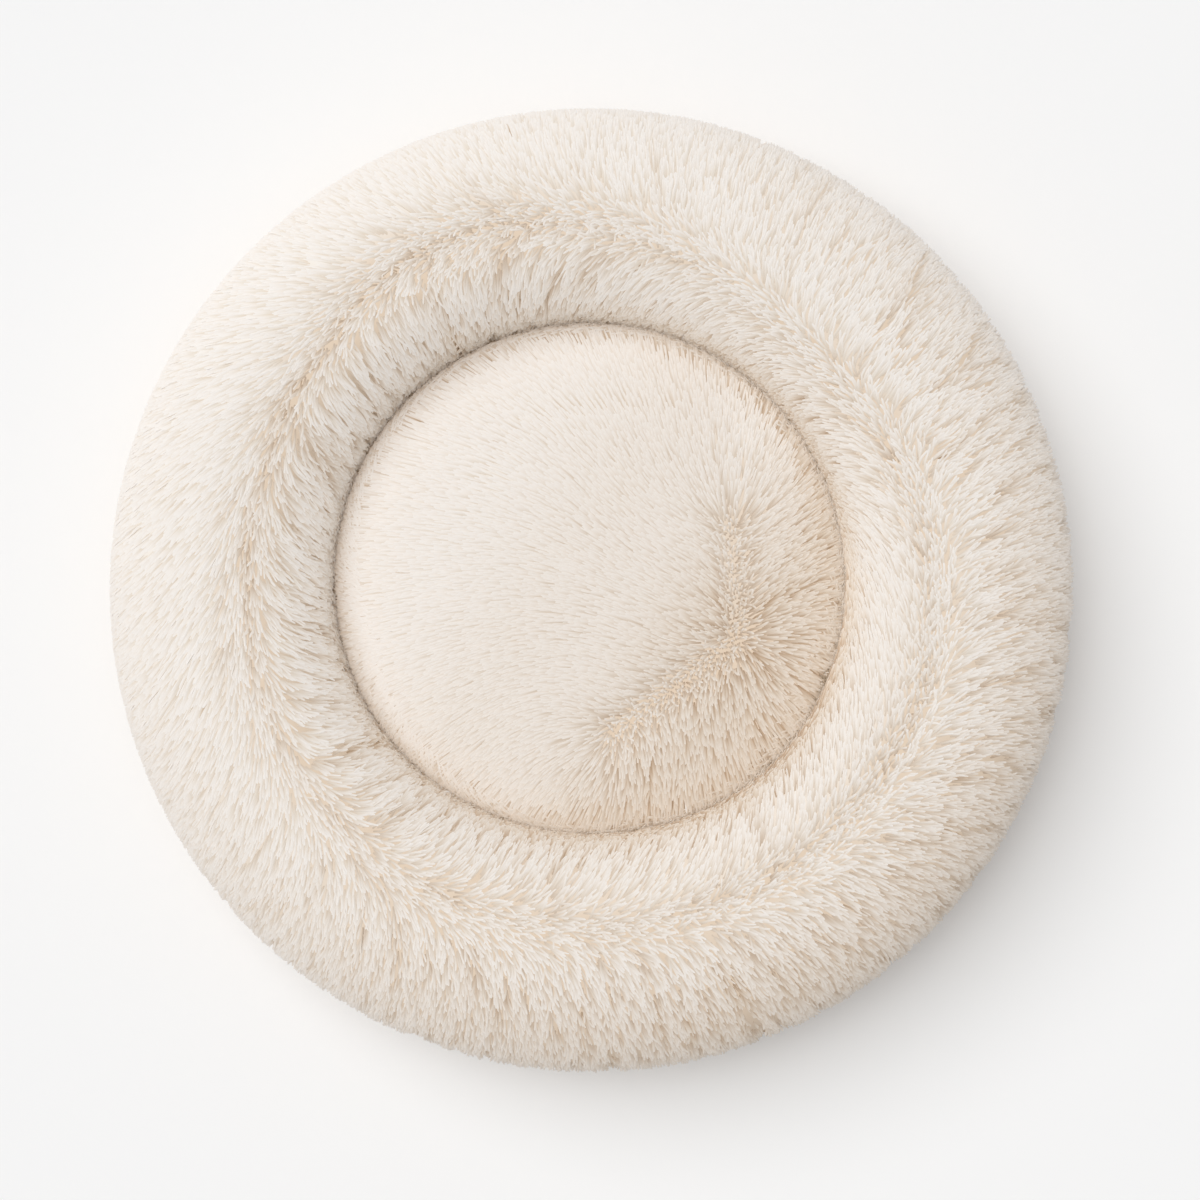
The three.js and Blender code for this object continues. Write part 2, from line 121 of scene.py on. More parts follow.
# The painted shade on the strands' flanks grows with the ruffle
FLANK_PAINTED_SHADE_SHARES = (0.15, 0.85)
OWN_SHADING_SHARES = (0.5, 0.5)

# The edges of a lock lie lower and are deeper in tone, as painted shade between the locks, and strands
# that hardly lean are shorter
LOCK_EDGE_SINK = 0.4
LOCK_EDGE_PAINTED_SHADE = 0.36
LEAN_LENGTH_SHARES = (0.27, 0.73)

# How a strand takes light: as the pile's surface does, as a face turned up does, and as its own round
# form. The second counts more on the inner wall: once away from it, and by how much more on it
SURFACE_SHADING_SHARE = 0.42
UPWARD_SHADING_SHARE = 0.32
OWN_SHADING_SHARE = 0.26
WALL_UPWARD_SHARES = (1, 3.4)

# How the pile lies on the ring, going round it by degrees: its turn from straight outward, counted
# towards the counterclockwise way, at the rim, on the shoulder and on the inner wall, and then how
# ruffled it is outside the crest and inside it
RING_COLUMNS = ("degrees", "rim", "shoulder", "wall", "outer ruffle", "inner ruffle")
RING_PILE = (
    (0, 12, 25, 95, 0.7, 0.1),
    (30, 5, 22, 150, 0.9, 0.2),
    (60, 0, 15, 140, 0.5, 0.35),
    (90, 0, 10, 130, 0.2, 0.7),
    (110, 20, 25, 155, 0.1, 0.9),
    (135, 35, 50, 162, 0.0, 0.9),
    (165, 50, 62, 125, 0.05, 0.8),
    (195, 30, 50, 130, 0.15, 0.75),
    (225, 12, 32, 150, 0.5, 0.75),
    (250, 5, 30, 158, 0.8, 0.7),
    (280, 12, 18, 125, 0.8, 0.5),
    (310, 8, 28, 130, 0.8, 0.25),
    (335, 15, 45, 100, 0.8, 0.2),
)
ALONG_CREST = 90

# Where things lie across the ring, as shares of the bed's radius. The shoulder, the wall and the change of
# the ruffle, with its width, are counted from the crest
CREST_SHARE = 0.70
SHOULDER_SHARE = 0.065
WALL_SHARE = 0.07
RIM_SHARE = 0.95
RUFFLE_CHANGE_SHARES = (-0.03, 0.14)
CREST_REACH_SHARE = 0.07
CREST_RUFFLES = (0.45, 0.45)

# What differs round the ring comes in spots: the middle and the reach of each, in degrees, and what is
# added there
CREST_SPOTS = ((112, 32, 0.07), (45, 28, -0.05), (270, 25, -0.015))
OUTER_CREST_REACH_SPOTS = ((130, 45, -0.025),)
PARTED_SPOTS = ((95, 45, 1), (310, 85, 0.95))
# Painted shade on the lower right, the side away from the lamps: on ruffled pile, and on the outer side
RUFFLED_PAINTED_SHADE_SPOTS = ((290, 85, 0.1),)
OUTER_PAINTED_SHADE_SPOTS = ((302, 82, 0.42),)
INNER_TONE_SPOTS = ((105, 60, 0.1), (340, 60, 0.12))
PARTING_TONE_SPOTS = ((145, 55, 0.3),)
CREASE_SHIFT_SPOTS = ((318, 38, 5), (215, 35, 2))
# Where the crease's painted shade is less, on the wall that is in shade
SHADED_CREASE_SPOTS = ((160, 75, 0.4),)

# The ring's tones where no spot adds to them. The wall's is painted shade, deeper down the inner wall
# towards the crease
RUFFLED_TONE = 0.02
WALL_PAINTED_SHADE = 0.06
PARTING_TONE = 0.12

# The ring's bands, as shares of the bed's radius: the start and width of the outer side's, the same for the
# inner side, counted inward from the crest, the parting line's place inside the crest and its reach, and
# how far the crest lies open, where strands lean less
# The outer side's band holds the painted shade of the lower right
OUTER_SIDE_SHARES = (0.72, 0.16)
INNER_SIDE_SHARES = (-0.03, 0.1)
PARTING_LINE_SHARE = 0.012
PARTING_LINE_REACH_SHARE = 0.014
OPEN_CREST_SHARE = 0.042
OPEN_CREST_LEAN = 0.5
WALL_FADE = 30 * MM

# How much of its way round the ring a strand keeps at least where the cloth is steep
LEAST_LEVEL_SHARE = 0.3

# Where the cover's cross seams part the pile at the crease, by degrees, and how far
NOTCH_DEGREES = (120, 218, 305)
# How far round the crease's painted shade spreads at each notch, in degrees
NOTCH_SHADE_REACH = 1.3
NOTCH_HALF_WIDTH = 2.2 * MM
NOTCH_LENGTH = 14 * MM

# The crease: how far outside its seam it is seen, in millimetres, how deep its painted shade is, how far
# that painted shade reaches up the seat, and up the ring in millimetres, where a notch adds to it, how
# raggedly the ring's and the seat's strands end there, and from how far off the seat's spread to it
CREASE_SHIFT_MILLIMETRES = 1.3
CREASE_PAINTED_SHADE = 0.85
CREASE_REACH_ON_SEAT = 4 * MM
CREASE_REACH_MILLIMETRES = (6, 12)
RING_END_SCATTER = 4 * MM
SEAT_END_SCATTER = 3.5 * MM
SEAT_SPREAD_WIDTH = 20 * MM

# Room under the ring's pile, beside the binding and over the floor
BINDING_ROOM = 2 * MM
FLOOR_ROOM = 1.4 * MM

# The seat's whorl, which is also a line too short to see, and the ends of the two ridges that run from it
WHORL = np.array([106 * MM, -36 * MM])
WHORL_END = WHORL + 1e-6
UPPER_RIDGE_END = np.array([101 * MM, 46 * MM])
LOWER_RIDGE_END = np.array([16 * MM, -104 * MM])

# How the ridges turn the seat's pile away from them, where it parts, and how it swirls on the left
RIDGE_REACH = 45 * MM
RIDGE_PULL = 1.6
PARTING_REACH = 10 * MM
SWIRL_TURN = np.radians(16)
SWIRL_REACH = 150 * MM
SWIRL_EDGE = 40 * MM
SWIRL_FADE = 120 * MM

# How ruffled the seat's pile is along the ridges and at the whorl, how far that reaches, in millimetres,
# less on the side towards the middle, and where its ruffled sides start and over what width
RIDGE_RUFFLES = ((UPPER_RIDGE_END, 0.6), (LOWER_RIDGE_END, 0.85), (WHORL_END, 1))
RUFFLE_REACH_MILLIMETRES = (27, -12)
SIDE_RUFFLE = 0.6
RIGHT_SIDE = (60 * MM, 60 * MM)
LOW_SIDE = (60 * MM, 50 * MM)
LOW_SIDE_ACROSS = (-20 * MM, 80 * MM)

# The seat's tones: with the ruffle, towards the lower right in two steps, painted shade at its right edge,
# where it curves away from the lamps down to the crease, and painted shade down its side into the crease.
# A band has its start and its width
SEAT_TONES = (0.1, -0.3)
NEAR_TONE = 0.22
NEAR_TONE_WIDTH = 90 * MM
FAR_TONE = 0.56
FAR_TONE_BAND = (30 * MM, 80 * MM)
SEAT_RIM_PAINTED_SHADE = 0.52
SEAT_RIM_SHADE_BAND = (150 * MM, 30 * MM)
SEAT_RIM_SHADE_DEGREES = 350
SEAT_RIM_SHADE_REACH = 60
SEAT_SIDE_PAINTED_SHADE = 0.3
SEAT_SIDE_SHADE_START = SEAT_EDGE_HEIGHT - 3 * MM
SEAT_SIDE_SHADE_WIDTH = 8 * MM

# The skins, which are the dense pile under the strands: their thickness, their depth as a share of the
# roots' on the outer wall and how much more it is on top, where and over what turn the top starts, and
# where the underfur is painted deeper in colour as shade, low on the ring and down the seat's side
SKIN_THICKNESS = 1.2 * MM
SKIN_DEPTH_SHARES = (0.62, 0.38)
SKIN_TOP_BAND = (math.radians(30), math.radians(45))
HANGING_REACH = 45 * MM
SEAT_SIDE_UNDERFUR_SHADE = 1.2
SEAT_SIDE_START = SEAT_EDGE_HEIGHT + 4 * MM
SEAT_SIDE_WIDTH = 10 * MM

# Light: the share of a level floor's brightness that the world gives, and each lamp's azimuth, elevation
# and spread, in degrees, and its share
WHITE = (1, 1, 1, 1)
WORLD_SHARE = 0.32
LAMPS = {"key": (143, 58, 48, 0.48), "overhead": (140, 84, 40, 0.24)}

# The camera's place, and the width that it frames at the height of the bulge
CAMERA_PLACE = (6.2 * MM, -7.3 * MM, 2.2)
FRAME_WIDTH = 0.8768
FLOOR_HALF_WIDTH = 12.0
FLOOR_COLOR = (0.875, 0.875, 0.875, 1)


# Shapes that the solids and the pile share

def smooth_share(value):
    share = np.clip(value, 0, 1)
    return share * share * (3 - 2 * share)


def ramped(value, start, width):
    """0 up to the start, and rising smoothly to 1 over the width."""
    return smooth_share((value - start) / width)


def grown(amounts, share):
    """The first amount where the share is 0, and more by the second where it is 1."""
    start, gain = amounts
    return start + gain * share


def signed_power(value, power):
    return np.sign(value) * np.abs(value) ** power


def unit(vectors):
    return vectors / np.maximum(np.linalg.norm(vectors, axis=-1, keepdims=True), TINY)


def settle_ring(x, y, z):
    """The inner wall follows the seat, which sits off the ring's middle, and the fibre lifts the crest."""
    turn = np.arctan2(y, x)
    inward = smooth_share((PANEL_RADIUS - np.hypot(x, y)) / (PANEL_RADIUS - CREASE_RADIUS))
    upward = ramped(z, BULGE_HEIGHT, CREST_HEIGHT - BULGE_HEIGHT)
    lump_share = sum(share * np.cos(count * turn + start) for count, start, share in LUMPS)
    settled = (x + SEAT_SHIFT[0] * inward, y + SEAT_SHIFT[1] * inward, z + LUMP_HEIGHT * lump_share * upward)
    return np.stack(settled, axis=-1)


def ring_surface(turn, section, inset, floor):
    """Points of a layer of the ring. section runs from below the outer wall (-90 degrees) over the crest."""
    cosine, sine = np.cos(section), np.sin(section)
    outer_half = BED_RADIUS - CREST_RADIUS - inset
    inner_half = CREST_RADIUS - CREASE_RADIUS - inset
    upper_half = CREST_HEIGHT - BULGE_HEIGHT - inset
    lower_half = BULGE_HEIGHT - floor
    across = np.where(cosine > 0, outer_half, inner_half) * signed_power(cosine, 2 / RING_ROUNDNESS)
    up = np.where(sine > 0, upper_half, lower_half) * signed_power(sine, 2 / RING_ROUNDNESS)
    radius = CREST_RADIUS + across
    height = np.maximum(BULGE_HEIGHT + up, REST_HEIGHT)
    return settle_ring(radius * np.cos(turn), radius * np.sin(turn), height)


def seat_surface(turn, rise, inset):
    """Points of a layer of the seat. rise runs from 90 degrees at the crown to 0 at the widest place, and
    on below 0 to the crease seam, where the side is drawn in."""
    crown = np.maximum(rise, 0)
    side_share = np.clip(-rise / SEAT_SIDE_TURN, 0, 1)
    radius = (SEAT_RADIUS - inset) * signed_power(np.cos(crown), 2 / SEAT_ROUNDNESS)
    radius = radius - SEAT_DRAW_IN * side_share
    upper_half = SEAT_CROWN_HEIGHT - SEAT_EDGE_HEIGHT - inset
    height = SEAT_EDGE_HEIGHT + upper_half * signed_power(np.sin(crown), 2 / SEAT_ROUNDNESS)
    height = height - (SEAT_EDGE_HEIGHT - SEAM_HEIGHT) * side_share
    places = (radius * np.cos(turn) + SEAT_SHIFT[0], radius * np.sin(turn) + SEAT_SHIFT[1], height)
    return np.stack(places, axis=-1)


def surface_frame(surface, turn, section):
    """Point, outward normal, and the two unit tangents (along the section, and counterclockwise) there."""
    step = 1e-3
    point = surface(turn, section)
    along = unit(surface(turn, section + step) - surface(turn, section - step))
    around = unit(surface(turn + step, section) - surface(turn - step, section))
    normal = unit(np.cross(around, along))
    return point, normal, along, around


def even_places(count, starts):
    """Evenly spread pairs from 0 to 1, with no rows to see."""
    plastic_number = 1.32471795724
    index = np.arange(count)
    return (starts[0] + index / plastic_number) % 1, (starts[1] + index / plastic_number ** 2) % 1


def equal_area(surface, low, high, share):
    """The section angles at which the surface's area, counted from low to high, reaches each share."""
    step_count = 600
    angles = np.linspace(low, high, step_count)
    points = surface(np.zeros_like(angles), angles)
    radius = np.hypot(points[:, 0], points[:, 1])
    steps = np.linalg.norm(np.diff(points, axis=0), axis=1) * (radius[1:] + radius[:-1]) / 2
    area = np.concatenate([[0], np.cumsum(steps)])
    return np.interp(share * area[-1], area, angles)


# How the pile lies

def degrees_round(points):
    return np.degrees(np.arctan2(points[..., 1], points[..., 0])) % 360


def seat_distance(points):
    return np.hypot(points[..., 0] - SEAT_SHIFT[0], points[..., 1] - SEAT_SHIFT[1])


def hill(degrees, middle, reach):
    """1 at the middle, and falling away over the reach on both sides, round the ring."""
    return np.exp(-(((degrees - middle + 180) % 360 - 180) / reach) ** 2)


def varied(base, degrees, spots):
    """A value that is the base all round the ring, with something added at each spot."""
    for middle, reach, added in spots:
        base = base + added * hill(degrees, middle, reach)
    return base


def ring_stop(degrees, column):
    """One column of the table of the ring's pile, at any place round the ring."""
    stops = np.array(RING_PILE, float)
    return np.interp(degrees, stops[:, 0], stops[:, RING_COLUMNS.index(column)], period=360)


def crest_place(points):
    """How far out each point is, as a share of the bed's radius, and the share at which the pile parts."""
    share = np.hypot(points[..., 0], points[..., 1]) / BED_RADIUS
    return share, varied(CREST_SHARE, degrees_round(points), CREST_SPOTS)


def ring_pile_turn(points):
    """The pile's turn from straight outward, in radians, at points seen from above."""
    degrees = degrees_round(points)
    rim, shoulder, wall = (ring_stop(degrees, column) for column in ("rim", "shoulder", "wall"))
    share, crest = crest_place(points)
    shoulder_share = crest + SHOULDER_SHARE
    near = smooth_share((share - crest) / (shoulder_share - crest))
    far = smooth_share((share - shoulder_share) / (RIM_SHARE - shoulder_share))
    outer = ALONG_CREST + (shoulder - ALONG_CREST) * near + (rim - shoulder) * far
    inner = ALONG_CREST + (wall - ALONG_CREST) * smooth_share((crest - share) / WALL_SHARE)
    return np.radians(np.where(share > crest, outer, inner))


def ring_ruffle(points):
    """How ruffled the ring's pile is, from 0 to 1."""
    degrees = degrees_round(points)
    share, crest = crest_place(points)
    outside, inside = ring_stop(degrees, "outer ruffle"), ring_stop(degrees, "inner ruffle")
    outer_reach = varied(CREST_REACH_SHARE, degrees, OUTER_CREST_REACH_SPOTS)
    reach = np.where(share > crest, outer_reach, CREST_REACH_SHARE)
    on_crest = np.exp(-((share - crest) / reach) ** 2)
    ruffle = inside + (outside - inside) * ramped(share - crest, *RUFFLE_CHANGE_SHARES)
    return np.maximum(ruffle, on_crest * grown(CREST_RUFFLES, np.maximum(outside, inside)))


def away_from(points, start, end):
    """Unit vectors away from a line between two points, and how far each point is from it."""
    line = end - start
    share = np.clip(((points - start) @ line) / (line @ line), 0, 1)
    offset = points - (start + share[..., None] * line)
    distance = np.linalg.norm(offset, axis=-1)
    return offset / np.maximum(distance, TINY)[..., None], distance


def seat_pile_flow(points):
    """Directions of the seat's pile, seen from above: out of the whorl and away from its two ridges.
    Beside them the pile hardly leans at all."""
    flat = points[:, :2]
    flow, distance = away_from(flat, WHORL, WHORL_END)
    lean = smooth_share(distance / PARTING_REACH)
    for ridge_end in (UPPER_RIDGE_END, LOWER_RIDGE_END):
        away, gap = away_from(flat, WHORL, ridge_end)
        flow += away * RIDGE_PULL * np.exp(-(gap / RIDGE_REACH) ** 2)[:, None]
        lean = np.minimum(lean, smooth_share(gap / PARTING_REACH))
    swirl = SWIRL_TURN * smooth_share(distance / SWIRL_REACH) * ramped(-flat[:, 0], -SWIRL_EDGE, SWIRL_FADE)
    cosine, sine = np.cos(swirl), np.sin(swirl)
    x, y = flow[:, 0], flow[:, 1]
    turned = np.stack([x * cosine - y * sine, x * sine + y * cosine], axis=1)
    return unit(turned), lean


def seat_ruffle(points):
    """How ruffled the seat's pile is, from 0 to 1: it stands up round the whorl and beside its ridges."""
    flat = points[..., :2]
    x, y = points[..., 0], points[..., 1]
    right_side = ramped(x, *RIGHT_SIDE) * SIDE_RUFFLE
    low_side = ramped(-y, *LOW_SIDE) * ramped(x, *LOW_SIDE_ACROSS) * SIDE_RUFFLE
    ruffle = np.maximum(right_side, low_side)
    toward_middle = unit(-WHORL)
    for ridge_end, strength in RIDGE_RUFFLES:
        away, gap = away_from(flat, WHORL, ridge_end)
        reach = grown(RUFFLE_REACH_MILLIMETRES, away @ toward_middle) * MM
        ruffle = np.maximum(ruffle, strength * np.exp(-(gap / reach) ** 2))
    return ruffle


def pile_depth(ruffle):
    """How deep the backing lies below the tips: sleek pile lies flat, and ruffled pile stands up."""
    return PILE_DEPTH * (SLEEK_DEPTH_SHARE + (1 - SLEEK_DEPTH_SHARE) * ruffle)


def ring_pile_depth(points):
    return pile_depth(ring_ruffle(points))


def seat_pile_depth(points):
    return pile_depth(seat_ruffle(points))


def ring_root_surface(turn, section):
    envelope = ring_surface(turn, section, 0, 0)
    return ring_surface(turn, section, ring_pile_depth(envelope), REST_HEIGHT + ROOT_RISE)


def ring_skin_surface(turn, section):
    """The dense pile that closes the view to the cloth. On the outer wall it comes near the tips."""
    envelope = ring_surface(turn, section, 0, 0)
    upward = ramped(section, *SKIN_TOP_BAND)
    inset = ring_pile_depth(envelope) * grown(SKIN_DEPTH_SHARES, upward)
    return ring_surface(turn, section, inset, REST_HEIGHT + ROOT_RISE * upward)


def seat_skin_surface(turn, rise):
    """The same for the seat, where the strands grow from it."""
    envelope = seat_surface(turn, rise, 0)
    return seat_surface(turn, rise, seat_pile_depth(envelope))


def ring_underfur_shade(points):
    """Painted shade on the underfur: as the pile is ruffled, and where it hangs by the floor."""
    low = smooth_share((BULGE_HEIGHT - points[..., 2]) / HANGING_REACH)
    return np.maximum(ring_ruffle(points), low)


def seat_underfur_shade(points):
    """Painted shade on the seat's underfur: as it is ruffled, and down its side into the crease."""
    side = smooth_share((SEAT_SIDE_START - points[..., 2]) / SEAT_SIDE_WIDTH)
    return np.maximum(seat_ruffle(points), SEAT_SIDE_UNDERFUR_SHADE * side)


# Meshes from numbers

def link_mesh(name, mesh):
    piece = bpy.data.objects.new(name, mesh)
    bpy.context.scene.collection.objects.link(piece)
    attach(piece, "bed")
    return piece


def mesh_from(name, points, *groups):
    """A smooth mesh, built without a Python loop. Each group holds the corners of one kind of face."""
    mesh = bpy.data.meshes.new(name)
    corners = np.concatenate([faces.ravel() for faces in groups]).astype(np.int32)
    sizes = np.concatenate([np.full(len(faces), faces.shape[1]) for faces in groups])
    starts = np.concatenate([[0], np.cumsum(sizes)[:-1]]).astype(np.int32)
    mesh.vertices.add(len(points))
    mesh.vertices.foreach_set("co", points.astype(np.float32).ravel())
    mesh.loops.add(len(corners))
    mesh.loops.foreach_set("vertex_index", corners)
    mesh.polygons.add(len(sizes))
    mesh.polygons.foreach_set("loop_start", starts)
    mesh.update(calc_edges=True)
    mesh.polygons.foreach_set("use_smooth", np.full(len(sizes), True))
    return mesh


def grid_quads(rows, columns):
    """Corner numbers of a grid of points that is closed both ways on itself."""
    row, column = np.meshgrid(np.arange(rows), np.arange(columns), indexing="ij")
    here, above = row * columns, (row + 1) % rows * columns
    following = (column + 1) % columns
    quads = [here + column, here + following, above + following, above + column]
    return np.stack(quads, axis=-1).reshape(-1, 4)


def ring_walk(turn, section, heading, reach):
    """Where a strand gets to on the ring that sets out on a heading, along the section and round."""
    step = 0.05
    least_radius = 10 * MM
    stretch = ring_root_surface(turn, section + step) - ring_root_surface(turn, section - step)
    turning = ring_root_surface(turn + step, section) - ring_root_surface(turn - step, section)
    section_speed = 2 * step / np.maximum(np.linalg.norm(stretch, axis=1), 2 * step * least_radius)
    turn_speed = 2 * step / np.linalg.norm(turning, axis=1)
    return turn + heading[:, 1] * turn_speed * reach, section + heading[:, 0] * section_speed * reach


def seat_walk(turn, rise, heading, reach):
    """The same on the seat: straight over its top, and down its side past the edge."""
    half_width = SEAT_RADIUS - PILE_DEPTH * SLEEK_DEPTH_SHARE
    side_height = SEAT_EDGE_HEIGHT - SEAM_HEIGHT
    crown = np.maximum(rise, 0)
    radius = half_width * signed_power(np.cos(crown), 2 / SEAT_ROUNDNESS)
    radius = radius + side_height * np.maximum(-rise, 0) / SEAT_SIDE_TURN
    outward, sideways = radius - heading[:, 0] * reach, heading[:, 1] * reach
    there = np.hypot(outward, sideways)
    past = np.maximum(there - half_width, 0) / side_height
    on_top = np.arccos(np.clip(there / half_width, 0, 1) ** (SEAT_ROUNDNESS / 2))
    return turn + np.arctan2(sideways, outward), on_top - SEAT_SIDE_TURN * past


def laid_paths(surface, depth_at, walk, turn, section, heading, length, lift, curl):
    """Stations of each strand. It follows the curved cloth on its heading, and rises to its tip, so that
    strands lie over each other like shingles. Also returns the cloth's outward direction at each."""
    places, normals = [], []
    for share in STATION_SHARES:
        travel = length * (EVEN_TRAVEL_SHARE * share + LATE_TRAVEL_SHARE * share ** 2)
        there = walk(turn, section, heading, travel)
        place, normal, along, around = surface_frame(surface, *there)
        sideways = along * heading[:, 1:] - around * heading[:, :1]
        bend = curl[:, 0] * np.sin(curl[:, 1] + CURL_WINDING * share) * share
        rise = lift * depth_at(place) * share ** RISE_POWER
        places.append(place + normal * rise[:, None] + sideways * bend[:, None])
        normals.append(normal)
    return np.stack(places, axis=1), np.stack(normals, axis=1)


def shade_as_surface(mesh, points, path, normal, ruffle, wall):
    """Light falls on each strand mostly as on the pile's surface, and partly as on its own round form. On
    the inner wall, where light comes in from above only, it falls more as on a face turned up. A strand's
    underside takes light from below."""
    own = np.empty_like(points)
    level = np.empty_like(points)
    for station in range(STATIONS):
        ring = slice(station * SIDES, station * SIDES + SIDES)
        own[:, ring] = unit(points[:, ring] - path[:, station][:, None])
        level[:, ring] = normal[:, station][:, None]
    own[:, -1] = unit(path[:, -1] - path[:, -2])
    level[:, -1] = normal[:, -1]
    upward = np.zeros((len(path), 1, 3))
    upward[:, 0, 2] = UPWARD_SHADING_SHARE * grown(WALL_UPWARD_SHARES, wall)
    underside = np.append(np.tile(np.maximum(-np.sin(CORNER_TURNS), 0), STATIONS), 0)
    underside = underside[None, :, None]
    own_share = (OWN_SHADING_SHARE * grown(OWN_SHADING_SHARES, ruffle))[:, None, None]
    shaded = unit((level * SURFACE_SHADING_SHARE + upward) * (1 - underside) + own * (own_share + underside))
    mesh.normals_split_custom_set_from_vertices(shaded.reshape(-1, 3))


def strand_faces(count):
    """Corner numbers of closed strands: their roots and sides in fours, and their tips in threes."""
    tip = STATIONS * SIDES
    quads, triangles = [list(range(SIDES))], []
    for corner in range(SIDES):
        following = (corner + 1) % SIDES
        for low in range(0, tip - SIDES, SIDES):
            quads.append([low + corner, low + corner + SIDES, low + following + SIDES, low + following])
        triangles.append([tip - SIDES + corner, tip, tip - SIDES + following])
    first = (np.arange(count) * (tip + 1))[:, None, None]
    return (first + np.array(quads)).reshape(-1, 4), (first + np.array(triangles)).reshape(-1, 3)


def map_strands(mesh, tone, ruffle):
    """A map whose width is the strand's tone, with its flanks deeper, and whose height is the place along
    it. The first strand is the palest and the last the deepest, so that every piece's map is as wide. One
    corner of the root lies a step along, so that the root's face has some area in the map."""
    root_step = 0.012
    margin = 0.01
    # Painted shade on the flanks, deeper than the ridge
    flank_shade = FLANK_PAINTED_SHADE * grown(FLANK_PAINTED_SHADE_SHARES, ruffle)
    flank_steps = np.append(np.tile((1 - np.sin(CORNER_TURNS)) / 2, STATIONS), TIP_FLANK_SHARE)
    tone = tone.copy()
    tone[[0, -1]] = 0, 1 - flank_shade[-1]
    across = tone[:, None] + flank_shade[:, None] * flank_steps
    length_share = np.append(np.repeat(STATION_SHARES[:STATIONS], SIDES), 1.0)
    length_share[1] = root_step
    places = np.stack([across, np.broadcast_to(length_share, across.shape)], axis=-1).reshape(-1, 2)
    corners = np.empty(len(mesh.loops), np.int32)
    mesh.loops.foreach_get("vertex_index", corners)
    layer = mesh.uv_layers.new(name="OFBake")
    layer.uv.foreach_set("vector", (places[corners] * (1 - 2 * margin) + margin).astype(np.float32).ravel())


def strand_mesh(name, path, normal, width, tone, ruffle, wall):
    """Closed fingers with a ridge on top and blunt ends."""
    count = len(path)
    along = unit(np.gradient(path, axis=1))
    side = unit(np.cross(along, normal))
    upward = np.cross(side, along)
    roll = RNG.normal(0, ROLL_SPREAD, count)
    points = np.empty((count, STATIONS * SIDES + 1, 3))
    for station in range(STATIONS):
        half = width * STATION_WIDTH_SHARES[station] / 2
        for corner, corner_turn in enumerate(CORNER_TURNS):
            angle = roll + corner_turn
            offset = side[:, station] * (np.cos(angle) * half)[:, None]
            offset += upward[:, station] * (np.sin(angle) * half)[:, None]
            points[:, station * SIDES + corner] = path[:, station] + offset
    points[:, -1] = path[:, -1]
    quads, triangles = strand_faces(count)
    mesh = mesh_from(name, points.reshape(-1, 3), quads, triangles)
    shade_as_surface(mesh, points, path, normal, ruffle, wall)
    map_strands(mesh, tone, ruffle)
    return mesh


# Nodes of materials

def feed(links, source, socket):
    """Gives a socket a link from another node, or a plain value."""
    if isinstance(source, bpy.types.NodeSocket):
        links.new(source, socket)
    else:
        socket.default_value = source


def new_material(name, roughness, sheen=0.0, specular=0.25):
    material = bpy.data.materials.new(name)
    material.use_nodes = True
    nodes, links = material.node_tree.nodes, material.node_tree.links
    shader = nodes["Principled BSDF"]
    shader.inputs["Roughness"].default_value = roughness
    shader.inputs["Specular IOR Level"].default_value = specular
    shader.inputs["Sheen Weight"].default_value = sheen
    return material, nodes, links, shader


def object_places(nodes):
    return nodes.new("ShaderNodeTexCoord").outputs["Object"]


def split_parts(nodes, links, source):
    """The X, Y and Z of a place."""
    split = nodes.new("ShaderNodeSeparateXYZ")
    links.new(source, split.inputs[0])
    return split.outputs


def calculated(nodes, links, operation, *sources):
    node = nodes.new("ShaderNodeMath")
    node.operation = operation
    for source, socket in zip(sources, node.inputs):
        feed(links, source, socket)
    return node.outputs["Value"]


def cloudy(nodes, links, places, scale, detail=2):
    noise = nodes.new("ShaderNodeTexNoise")
    noise.inputs["Scale"].default_value = scale
    noise.inputs["Detail"].default_value = detail
    links.new(places, noise.inputs["Vector"])
    return noise.outputs["Fac"]


def ramp(nodes, links, source, stops):
    """Colours at places from 0 to 1, and those between them."""
    node = nodes.new("ShaderNodeValToRGB")
    elements = node.color_ramp.elements
    while len(elements) < len(stops):
        elements.new(0.5)
    for element, (place, color) in zip(elements, stops):
        element.position = place
        element.color = (*color, 1)
    links.new(source, node.inputs["Fac"])
    return node.outputs["Color"]


def blended(nodes, links, share, first, second, blend="MIX"):
    node = nodes.new("ShaderNodeMix")
    node.data_type = "RGBA"
    node.blend_type = blend
    feed(links, share, node.inputs["Factor"])
    feed(links, first, node.inputs["A"])
    feed(links, second, node.inputs["B"])
    return node.outputs["Result"]


def add_bump(nodes, links, shader, source, height, strength):
    bump = nodes.new("ShaderNodeBump")
    bump.inputs["Distance"].default_value = height
    bump.inputs["Strength"].default_value = strength
    links.new(source, bump.inputs["Height"])
    links.new(bump.outputs["Normal"], shader.inputs["Normal"])


# Materials

def pile_material(name, pale, deep):
    """Strand colour by its length, from the root to the tip, and by its tone, from pale to deep. It has no
    gloss, so that strands that lean away from the eye keep their colour."""
    material, nodes, links, shader = new_material(name, roughness=0.9, specular=0.0)
    places = nodes.new("ShaderNodeUVMap")
    places.uv_map = "OFBake"
    parts = split_parts(nodes, links, places.outputs["UV"])
    # The darker roots and the deep tone carry painted shade as well as the pile's own colour
    pale_color, deep_color = (ramp(nodes, links, parts["Y"], stops) for stops in (pale, deep))
    links.new(blended(nodes, links, parts["X"], pale_color, deep_color), shader.inputs["Base Color"])
    return material


